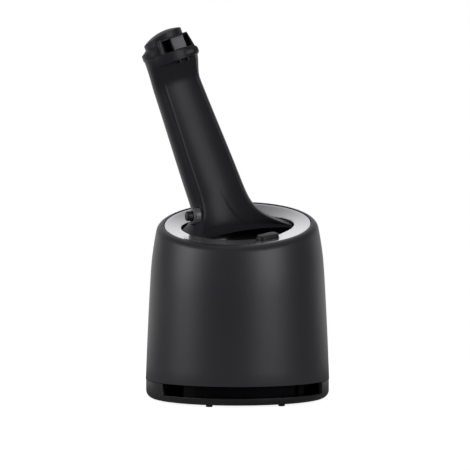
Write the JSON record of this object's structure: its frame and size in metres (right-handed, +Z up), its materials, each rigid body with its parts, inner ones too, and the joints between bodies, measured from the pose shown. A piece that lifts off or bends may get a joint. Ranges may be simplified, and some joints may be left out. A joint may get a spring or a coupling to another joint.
{
  "type": "shaver cleaning station",
  "caption": "Leaning tower over an oval wash tub on a round drum that lifts off its cartridge base, with push buttons, contact pins, pump and fan.",
  "frame": {"origin": "centre of the drum on the surface it stands on", "axes": "+Z up, -Y to the front with the cartridge slot, +X to the right"},
  "size_m": [0.125, 0.124, 0.2518],
  "materials": {
    "shell": "satin, fine grain",
    "ring": "polished",
    "tower": "satin to gloss black",
    "tub": "gloss black",
    "cap": "satin black",
    "contact_grey": "matte grey",
    "button_grey": "satin grey",
    "button_black": "gloss",
    "base": "satin",
    "cartridge": "gloss",
    "filter": "porous",
    "rubber": "matte",
    "steel": "brushed",
    "brass": "bright",
    "frame": "moulded",
    "board": "solder mask",
    "works": "moulded"
  },
  "bodies": {
    "base": {"base_pan": "base", "rubber_feet": "rubber", "guide_posts": "steel", "base_screws": "steel", "lift_spring_left": "steel", "lift_spring_right": "steel", "latch_catch": "base", "cartridge_body": "cartridge", "cartridge_lid": "cartridge", "cartridge_filter": "filter"},
    "housing": {"outer_shell": "shell", "trim_ring": "ring", "cleaning_tub": "tub", "drain_nozzle": "tub", "drain_seal": "rubber", "tower_front": "tower", "tower_rear": "tower", "tower_cap": "cap", "contact_block": "contact_grey", "quick_bezel": "button_grey", "inner_frame": "frame", "frame_screws": "steel", "circuit_board": "board", "board_parts": "works", "power_socket": "works", "socket_pins": "brass", "pump_housing": "frame", "pump_motor": "steel", "wash_tube": "rubber", "fan_housing": "works", "fan_motor": "works"},
    "lift_button": {"lift_button": "button_black", "latch_hook": "frame"},
    "start_button": {"start_button": "button_grey"},
    "quick_clean_button": {"quick_clean_button": "button_black"},
    "contact_pin_left": {"contact_pin_left": "brass"},
    "contact_pin_right": {"contact_pin_right": "brass"},
    "pump_rotor": {"pump_shaft": "steel", "pump_impeller": "frame"},
    "fan_rotor": {"fan_rotor": "works"}
  },
  "joints": [
    {"name": "housing_lift", "type": "slide", "parent": "base", "child": "housing", "axis": [0, 0, 1], "range_m": [0, 0.032], "deforming": ["lift_spring_left", "lift_spring_right"]},
    {"name": "lift_button_press", "type": "slide", "parent": "housing", "child": "lift_button", "axis": [0, -1, 0], "range_m": [0, 0.003], "stiffness_N_per_m": 500},
    {"name": "start_button_press", "type": "slide", "parent": "housing", "child": "start_button", "axis": [0.0423, 0.2419, -0.9694], "range_m": [0, 0.0012], "stiffness_N_per_m": 800},
    {"name": "quick_clean_press", "type": "slide", "parent": "housing", "child": "quick_clean_button", "axis": [0.9659, 0.2588, 0], "range_m": [0, 0.0015], "stiffness_N_per_m": 600},
    {"name": "contact_pin_left_press", "type": "slide", "parent": "housing", "child": "contact_pin_left", "axis": [-0.3346, 0.0698, 0.9398], "range_m": [0, 0.0015], "stiffness_N_per_m": 300},
    {"name": "contact_pin_right_press", "type": "slide", "parent": "housing", "child": "contact_pin_right", "axis": [-0.3346, 0.0698, 0.9398], "range_m": [0, 0.0015], "stiffness_N_per_m": 300},
    {"name": "pump_spin", "type": "hinge", "parent": "housing", "child": "pump_rotor", "pos_m": [-0.024, 0.016, 0.06], "axis": [0, 0, 1], "continuous": true},
    {"name": "fan_spin", "type": "hinge", "parent": "housing", "child": "fan_rotor", "pos_m": [0.024, 0.017, 0.06], "axis": [0, 0, 1], "continuous": true}
  ]
}
